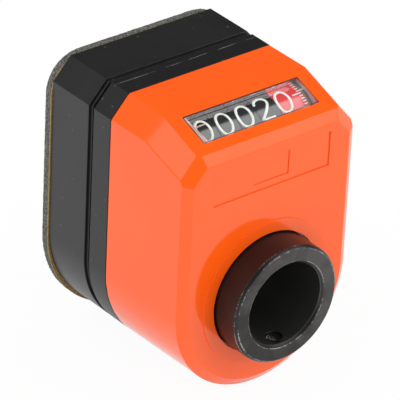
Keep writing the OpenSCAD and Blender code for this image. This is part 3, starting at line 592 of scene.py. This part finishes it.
# the sponge sheet: even small facets, pushed in and out by its cells
def spongeSheet(look):
    solid = wholeCopy("foam_seal")
    mesh = bpy.data.meshes.new("spongeSeal")
    solid.to_mesh(mesh)
    solid.free()
    piece = addPiece("spongeSeal", mesh, greyFoam)
    remesh = piece.modifiers.new("facets", "REMESH")
    remesh.mode = "VOXEL"
    remesh.voxel_size = look["facet"]
    grain = bpy.data.textures.new("spongeGrain", "CLOUDS")
    grain.noise_scale = look["grain"]
    push = piece.modifiers.new("cells", "DISPLACE")
    push.texture = grain
    push.texture_coords = "LOCAL"
    push.mid_level = look["level"]
    push.strength = look["rough"]
    plain = bpy.data.meshes.new_from_object(piece.evaluated_get(bpy.context.evaluated_depsgraph_get()))
    piece.modifiers.clear()
    piece.data = plain
    piece.data.shade_smooth()
    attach(piece, "housing")
    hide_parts("foam_seal")
    print("sponge sheet,", len(plain.polygons), "faces")


spongeSheet(spongeShape)


# part of an ellipse, a little squarer where asked
def bow(cx, cy, rx, ry, start, end, steps=20, square=1.0):
    turns = [math.radians(start + (end - start) * step / steps) for step in range(steps + 1)]
    full = [(math.cos(a), math.sin(a)) for a in turns]
    return [(cx + rx * math.copysign(abs(c) ** square, c), cy + ry * math.copysign(abs(s) ** square, s))
            for c, s in full]


# each numeral is a few strokes in a box two wide and two high
numeralStrokes = {
    0: [bow(0, 0, 1, 1, 90, 450, 40, 0.92)],
    1: [[(0, 0.6), (0.68, 1), (0.68, -1)]],
    2: [bow(-0.06, 0.46, 0.96, 0.54, 172, -28, 24) + [(0.35, -0.2), (-0.4, -0.68), (-0.95, -1), (1, -1)]],
    3: [bow(-0.1, 0.5, 0.9, 0.5, 160, -90, 22) + bow(-0.1, -0.5, 1, 0.5, 90, -160, 22)[1:]],
    4: [[(0.4, -1), (0.4, 1), (-1, -0.42), (1, -0.42)]],
    5: [[(0.8, 1), (-0.7, 1), (-0.86, 0.08)] + bow(-0.05, -0.36, 1, 0.64, 132, -150, 24)],
    6: [[(0.6, 1), (-0.2, 0.62)] + bow(0, -0.34, 1, 0.66, 170, 530, 36)],
    7: [[(-1, 1), (1, 1), (0.2, 0), (-0.25, -1)]],
    8: [bow(0, 0.5, 0.84, 0.5, -90, 270, 30), bow(0, -0.5, 1, 0.5, 90, 450, 30)],
    9: [[(-0.6, -1), (0.2, -0.62)] + bow(0, 0.34, 1, 0.66, -10, 350, 36)],
}
numeralLook = dict(width=3.5 * mm, height=5.5 * mm, stroke=0.65 * mm, lift=0.03 * mm, sink=0.02 * mm,
                   slant=0.1, step=36.0, spacing=0.16 * mm, dotSides=20, meet=0.001)


# a geometry tree with named inputs; the wire starts at its inputs
def startTree(name, inputs):
    tree = bpy.data.node_groups.new(name, "GeometryNodeTree")
    for title, kind in inputs:
        tree.interface.new_socket(title, in_out="INPUT", socket_type="NodeSocket" + kind)
    tree.interface.new_socket("Geometry", in_out="OUTPUT", socket_type="NodeSocketGeometry")
    wire = Wire(tree)
    entry = tree.nodes.new("NodeGroupInput")
    return tree, wire, {title: Wire(tree, entry.outputs[title]) for title, kind in inputs}


def closeTree(wire, shape, material):
    whole = wire.node("GeometryNodeRealizeInstances", {}, {0: shape})
    painted = wire.node("GeometryNodeSetMaterial", {}, {"Geometry": whole, "Material": material})
    wire.node("NodeGroupOutput", {}, {0: painted})


# runs a tree on an object and leaves a plain mesh
def growPiece(name, source, tree, values, material, body):
    grower = bpy.data.objects.new(name + "Source", source)
    bpy.context.scene.collection.objects.link(grower)
    modifier = grower.modifiers.new("grow", "NODES")
    modifier.node_group = tree
    for item in tree.interface.items_tree:
        if item.item_type == "SOCKET" and item.in_out == "INPUT" and item.name in values:
            modifier[item.identifier] = values[item.name]
    grower.update_tag()
    mesh = bpy.data.meshes.new_from_object(grower.evaluated_get(bpy.context.evaluated_depsgraph_get()))
    bpy.data.objects.remove(grower)
    piece = addPiece(name, mesh, material)
    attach(piece, body)
    print(name, "grown,", len(mesh.polygons), "faces")
    return piece


# strokes laid flat become ribbons, then roll onto the wheel
def numeralTree():
    tree, wire, given = startTree("numeralBand", [
        ("Geometry", "Geometry"), ("Stroke", "Float"), ("Spacing", "Float"), ("Dot Sides", "Int"),
        ("Lift", "Float"), ("Sink", "Float"), ("Radius", "Float"), ("Read Angle", "Float"),
        ("Axis", "Vector"), ("Paint", "Material")])
    fine = wire.node("GeometryNodeResampleCurve", {"mode": "LENGTH"},
                     {"Curve": given["Geometry"], "Length": given["Spacing"]})
    thick = given["Lift"] + given["Sink"]
    profile = wire.node("GeometryNodeCurvePrimitiveQuadrilateral", {},
                        {"Width": given["Stroke"], "Height": thick})
    ribbon = wire.node("GeometryNodeCurveToMesh", {},
                       {"Curve": fine, "Profile Curve": profile, "Fill Caps": True})
    dot = wire.node("GeometryNodeMeshCylinder", {"fill_type": "NGON"},
                    {"Vertices": given["Dot Sides"], "Radius": given["Stroke"] * 0.5, "Depth": thick})
    ends = wire.node("GeometryNodeCurveEndpointSelection")
    dots = wire.node("GeometryNodeInstanceOnPoints", {}, {"Points": fine, "Selection": ends, "Instance": dot})
    flat = wire.node("GeometryNodeJoinGeometry", {}, {0: ribbon})
    wire.tree.links.new(wire.node("GeometryNodeRealizeInstances", {}, {0: dots}).socket,
                        flat.socket.node.inputs[0])
    u, v, w = splitPlace(wire, wire.node("GeometryNodeInputPosition"))
    turn = given["Read Angle"] - v / given["Radius"]
    reach = given["Radius"] + w + (given["Lift"] - given["Sink"]) * 0.5
    rolled = wire.node("ShaderNodeCombineXYZ", {}, {
        "X": u,
        "Y": 0.0 - reach * wire.maths("SINE", turn),
        "Z": reach * wire.maths("COSINE", turn)})
    placed = wire.node("ShaderNodeVectorMath", {"operation": "ADD"}, {0: rolled, 1: given["Axis"]})
    closeTree(wire, wire.node("GeometryNodeSetPosition", {}, {"Geometry": flat, "Position": placed}),
              given["Paint"])
    return tree


def numeralCurve(name, look, shown, radius):
    curve = bpy.data.curves.new(name, "CURVE")
    curve.dimensions = "3D"
    curve.twist_mode = "Z_UP"
    for digit, strokes in numeralStrokes.items():
        rise = math.radians(look["step"]) * radius * ((digit - shown + 4) % 10 - 4)
        for stroke in strokes:
            closed = math.dist(stroke[0], stroke[-1]) < look["meet"]
            points = stroke[:-1] if closed else stroke
            spline = curve.splines.new("POLY")
            spline.points.add(len(points) - 1)
            for point, (u, v) in zip(spline.points, points):
                up = v * look["height"] / 2
                point.co = (u * look["width"] / 2 + up * look["slant"], up + rise, 0, 1)
            spline.use_cyclic_u = closed
    return curve


# body, numeral that shows, its place across and its angle from the top
wheels = [
    ("ten_thousands", 0, -12.3 * mm, 26.9),
    ("thousands", 0, -6.6 * mm, 26.5),
    ("hundreds", 0, -1.0 * mm, 26.2),
    ("tens", 2, 4.42 * mm, 25.2),
    ("units", 0, 10.0 * mm, 25.6),
]
bandTree = numeralTree()
for body, shown, across, angle in wheels:
    growPiece(body + "Numerals", numeralCurve(body, numeralLook, shown, wheelRadius), bandTree, {
        "Stroke": numeralLook["stroke"], "Spacing": numeralLook["spacing"],
        "Dot Sides": numeralLook["dotSides"], "Lift": numeralLook["lift"], "Sink": numeralLook["sink"],
        "Radius": wheelRadius, "Read Angle": math.radians(angle),
        "Axis": (across, counterAxis.y, counterAxis.z), "Paint": printWhite,
    }, printWhite, body)


# a row of bars round a wheel, every fifth one longer and every tenth one longest
def tickTree():
    tree, wire, given = startTree("tickRing", [
        ("Geometry", "Geometry"), ("Count", "Int"), ("Radius", "Float"), ("Width", "Float"),
        ("Short", "Float"), ("Middle", "Float"), ("Long", "Float"), ("Thick", "Float"),
        ("First Angle", "Float"), ("Pitch", "Float"), ("End", "Vector"), ("Paint", "Material")])
    points = wire.node("GeometryNodeMeshLine", {}, {"Count": given["Count"], "Offset": (0, 0, 0)})
    index = wire.node("GeometryNodeInputIndex")
    turn = given["First Angle"] - index * given["Pitch"]
    decade = wire.maths("MODULO", index, 10.0)
    ten = wire.maths("COMPARE", decade, 0.0)
    five = wire.maths("COMPARE", decade, 5.0)
    length = (given["Short"] + (given["Long"] - given["Short"]) * ten
              + (given["Middle"] - given["Short"]) * five)
    spot = wire.node("ShaderNodeCombineXYZ", {}, {
        "X": 0.0 - length * 0.5,
        "Y": 0.0 - given["Radius"] * wire.maths("SINE", turn),
        "Z": given["Radius"] * wire.maths("COSINE", turn)})
    place = wire.node("ShaderNodeVectorMath", {"operation": "ADD"}, {0: spot, 1: given["End"]})
    moved = wire.node("GeometryNodeSetPosition", {}, {"Geometry": points, "Position": place})
    bar = wire.node("GeometryNodeMeshCube", {}, {"Size": (1, 1, 1)})
    bars = wire.node("GeometryNodeInstanceOnPoints", {}, {
        "Points": moved, "Instance": bar,
        "Rotation": wire.node("ShaderNodeCombineXYZ", {}, {"X": turn}),
        "Scale": wire.node("ShaderNodeCombineXYZ", {}, {
            "X": length, "Y": given["Width"], "Z": given["Thick"]})})
    closeTree(wire, bars, given["Paint"])
    return tree


tickLook = dict(count=100, short=0.9 * mm, middle=1.7 * mm, long=2.45 * mm, width=0.3 * mm,
                thick=0.06 * mm, longAngle=22.4, end=15.38 * mm)
sleeveLook = dict(left=15.4 * mm, lift=0.035 * mm, start=-60, end=120, steps=90)
indexLook = dict(long=2.9 * mm, width=0.34 * mm, thick=0.06 * mm, angle=18.8, inset=0.1 * mm)
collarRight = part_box("counter_frame")[1][0]


# thin sleeve over the collar, up to the ticks
def collarSleeve(look):
    left, high = look["left"], look["lift"]
    points, faces = [], []
    for step in range(look["steps"] + 1):
        turn = math.radians(look["start"] + (look["end"] - look["start"]) * step / look["steps"])
        for x, lift in ((left, 0), (left, high), (collarRight, high), (collarRight, 0)):
            reach = wheelRadius + lift
            points.append((x, counterAxis.y - reach * math.sin(turn), counterAxis.z + reach * math.cos(turn)))
    for step in range(look["steps"]):
        for side in range(4):
            near, far = step * 4 + side, step * 4 + (side + 1) % 4
            faces.append((near, near + 4, far + 4, far))
    last = len(points) - 4
    faces += [(0, 1, 2, 3), (last + 3, last + 2, last + 1, last)]
    mesh = bpy.data.meshes.new("collarSleeve")
    mesh.from_pydata(points, [], faces)
    shell = bmesh.new()
    shell.from_mesh(mesh)
    bmesh.ops.recalc_face_normals(shell, faces=shell.faces)
    shell.to_mesh(mesh)
    shell.free()
    mesh.shade_smooth()
    mesh.set_sharp_from_angle(angle=math.radians(mergeLook["sharpAngle"]))
    piece = addPiece("collarSleeve", mesh, frameBlack)
    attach(piece, "housing")
    print("collar sleeve,", len(faces), "faces")
    return piece


counterThings.append(collarSleeve(sleeveLook))
ringTree = tickTree()
growPiece("unitsTicks", bpy.data.meshes.new("unitsTicks"), ringTree, {
    "Count": tickLook["count"], "Radius": wheelRadius, "Width": tickLook["width"],
    "Short": tickLook["short"], "Middle": tickLook["middle"], "Long": tickLook["long"],
    "Thick": tickLook["thick"], "First Angle": math.radians(tickLook["longAngle"]),
    "Pitch": math.tau / tickLook["count"], "End": (tickLook["end"], counterAxis.y, counterAxis.z),
    "Paint": printWhite,
}, printWhite, "units")
counterThings.append(growPiece("indexLine", bpy.data.meshes.new("indexLine"), ringTree, {
    "Count": 1, "Radius": wheelRadius + sleeveLook["lift"], "Width": indexLook["width"],
    "Long": indexLook["long"], "Thick": indexLook["thick"], "First Angle": math.radians(indexLook["angle"]),
    "End": (collarRight - indexLook["inset"], counterAxis.y, counterAxis.z), "Paint": printWhite,
}, printWhite, "housing"))


floorLook = dict(size=3.0, white=0.95, colour=(0.9, 0.9, 0.9, 1), deep=(0.86, 0.86, 0.86, 1), grain=0.2)
worldLook = dict(ambient=0.9, sky=0.1, rise=0.06, corner=(-0.65, 0.76, 0), cornerSky=0.22,
                 cornerRange=(0.2, 0.8))
lampLook = dict(
    nose=dict(toward=(0.56, -0.72, 0.41), along=(0, 0.5, 0.87), away=0.7, size=(0.7, 0.5), glow=1.5),
    left=dict(toward=(-0.74, 0.1, 0.66), along=(0, 1, 0), away=0.7, size=(0.5, 0.56), glow=1.25),
    lowerStrip=dict(toward=(0.555, -0.378, 0.741), along=(0, 0.891, 0.454), away=0.6, size=(0.3, 0.5),
                    glow=6.0),
    frontEdge=dict(toward=(0.57, -0.79, 0.24), along=(0, 0.29, 0.95), away=0.6, size=(0.4, 0.22),
                   glow=3.4),
    leftFrontEdge=dict(toward=(-0.57, -0.79, 0.24), along=(0, 0.29, 0.95), away=0.6, size=(0.4, 0.22),
                       glow=3.4),
    leftLowerEdge=dict(toward=(-0.555, -0.378, 0.741), along=(0, 0.891, 0.454), away=0.6, size=(0.3, 0.5),
                       glow=6.0),
)


# a rectangular lamp that looks at the aim, its long side near the given direction
def softbox(name, look, aim):
    out = Vector(look["toward"]).normalized()
    along = Vector(look["along"])
    along = (along - out * along.dot(out)).normalized()
    data = bpy.data.lights.new(name, "AREA")
    data.shape = "RECTANGLE"
    data.size, data.size_y = look["size"]
    data.energy = look["glow"] * math.pi * data.size * data.size_y
    lamp = bpy.data.objects.new(name, data)
    bpy.context.scene.collection.objects.link(lamp)
    turn = Matrix((along.cross(out), along, out)).transposed()
    lamp.matrix_world = Matrix.Translation(aim + out * look["away"]) @ turn.to_4x4()
    return lamp


def lightRays(wire):
    return [wire.node("ShaderNodeLightPath", out=ray)
            for ray in ("Is Camera Ray", "Is Glossy Ray", "Is Transmission Ray")]


# white sweep: the floor shows white to the camera and in gloss, and keeps a soft shadow
def makeFloor(look, low):
    half = look["size"] / 2
    floor = bpy.data.meshes.new("floor")
    floor.from_pydata([(-half, -half, low), (half, -half, low), (half, half, low), (-half, half, low)],
                      [], [(0, 1, 2, 3)])
    material, wire, place = startMaterial("paleFloor")
    camera, glossy, through = lightRays(wire)
    seen = wire.maths("MAXIMUM", wire.maths("MAXIMUM", camera, glossy), through)
    matte = wire.node("ShaderNodeBsdfDiffuse", {}, {
        "Color": blendColours(wire, noise(wire, place, look["grain"]), look["deep"], look["colour"])})
    glow = wire.node("ShaderNodeEmission", {}, {"Color": (1, 1, 1, 1), "Strength": 1.0})
    mixed = wire.node("ShaderNodeMixShader", {}, {0: seen * look["white"], 1: matte, 2: glow})
    wire.node("ShaderNodeOutputMaterial", {}, {"Surface": mixed})
    addPiece("floor", floor, material)


# the world is even to matte faces; gloss sees the white sweep and a dim ceiling
def makeWorld(look):
    world = bpy.data.worlds.new("studio")
    bpy.context.scene.world = world
    world.use_nodes = True
    world.node_tree.nodes.clear()
    wire = Wire(world.node_tree)
    camera, glossy, through = lightRays(wire)
    toward = wire.node("ShaderNodeTexCoord", out="Generated")
    height = splitPlace(wire, toward)[2]
    corner = wire.node("ShaderNodeVectorMath", {"operation": "DOT_PRODUCT"},
                       {0: toward, 1: look["corner"]}, "Value")
    sky = look["sky"] + look["cornerSky"] * ramp(wire, corner, *look["cornerRange"])
    ceiling = 1 - (1 - sky) * ramp(wire, height, 0.0, look["rise"])
    seen = wire.maths("MAXIMUM", camera, through)
    strength = seen + (1 - seen) * (glossy * ceiling + (1 - glossy) * look["ambient"])
    background = wire.node("ShaderNodeBackground", {}, {"Color": (1, 1, 1, 1), "Strength": strength})
    wire.node("ShaderNodeOutputWorld", {}, {"Surface": background})


# the strip lights the counter alone, and the edge lamps show only in the pane's polished edges
def makeLamps(looks):
    wheelBodies = [wheel[0] for wheel in wheels]
    groups = {
        "Strip": [thing for thing in bpy.context.scene.objects
                  if thing in counterThings or thing.get("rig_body") in wheelBodies],
        "Edge": edgeThings,
    }
    aim = counterAxis + Vector((0, 0, wheelRadius))
    lamps = {name: softbox(name, look, aim) for name, look in looks.items()}
    for ending, things in groups.items():
        lit = bpy.data.collections.new("lit" + ending)
        for thing in things:
            lit.objects.link(thing)
        for name, lamp in lamps.items():
            if name.endswith(ending):
                lamp.light_linking.receiver_collection = lit
                lamp.light_linking.blocker_collection = lit


makeFloor(floorLook, cadBox[0][2])
makeWorld(worldLook)
makeLamps(lampLook)
print("studio set")

cameraLook = dict(azimuth=-40.11, elevation=30.517, roll=2.844, distance=839.55 * mm, lens=340.39,
                  near=10 * mm, target=(0.755 * mm, -22.14 * mm, 10.74 * mm))


def placeCamera(look):
    turn, rise = math.radians(look["azimuth"]), math.radians(look["elevation"])
    back = Vector((math.sin(turn) * math.cos(rise), -math.cos(turn) * math.cos(rise), math.sin(rise)))
    data = bpy.data.cameras.new("camera")
    data.lens = look["lens"]
    data.clip_start = look["near"]
    camera = bpy.data.objects.new("camera", data)
    bpy.context.scene.collection.objects.link(camera)
    camera.location = Vector(look["target"]) + back * look["distance"]
    camera.rotation_mode = "QUATERNION"
    roll = Quaternion((0, 0, 1), math.radians(look["roll"]))
    camera.rotation_quaternion = (-back).to_track_quat("-Z", "Y") @ roll
    bpy.context.scene.camera = camera


placeCamera(cameraLook)
bpy.context.scene.view_settings.view_transform = "Standard"
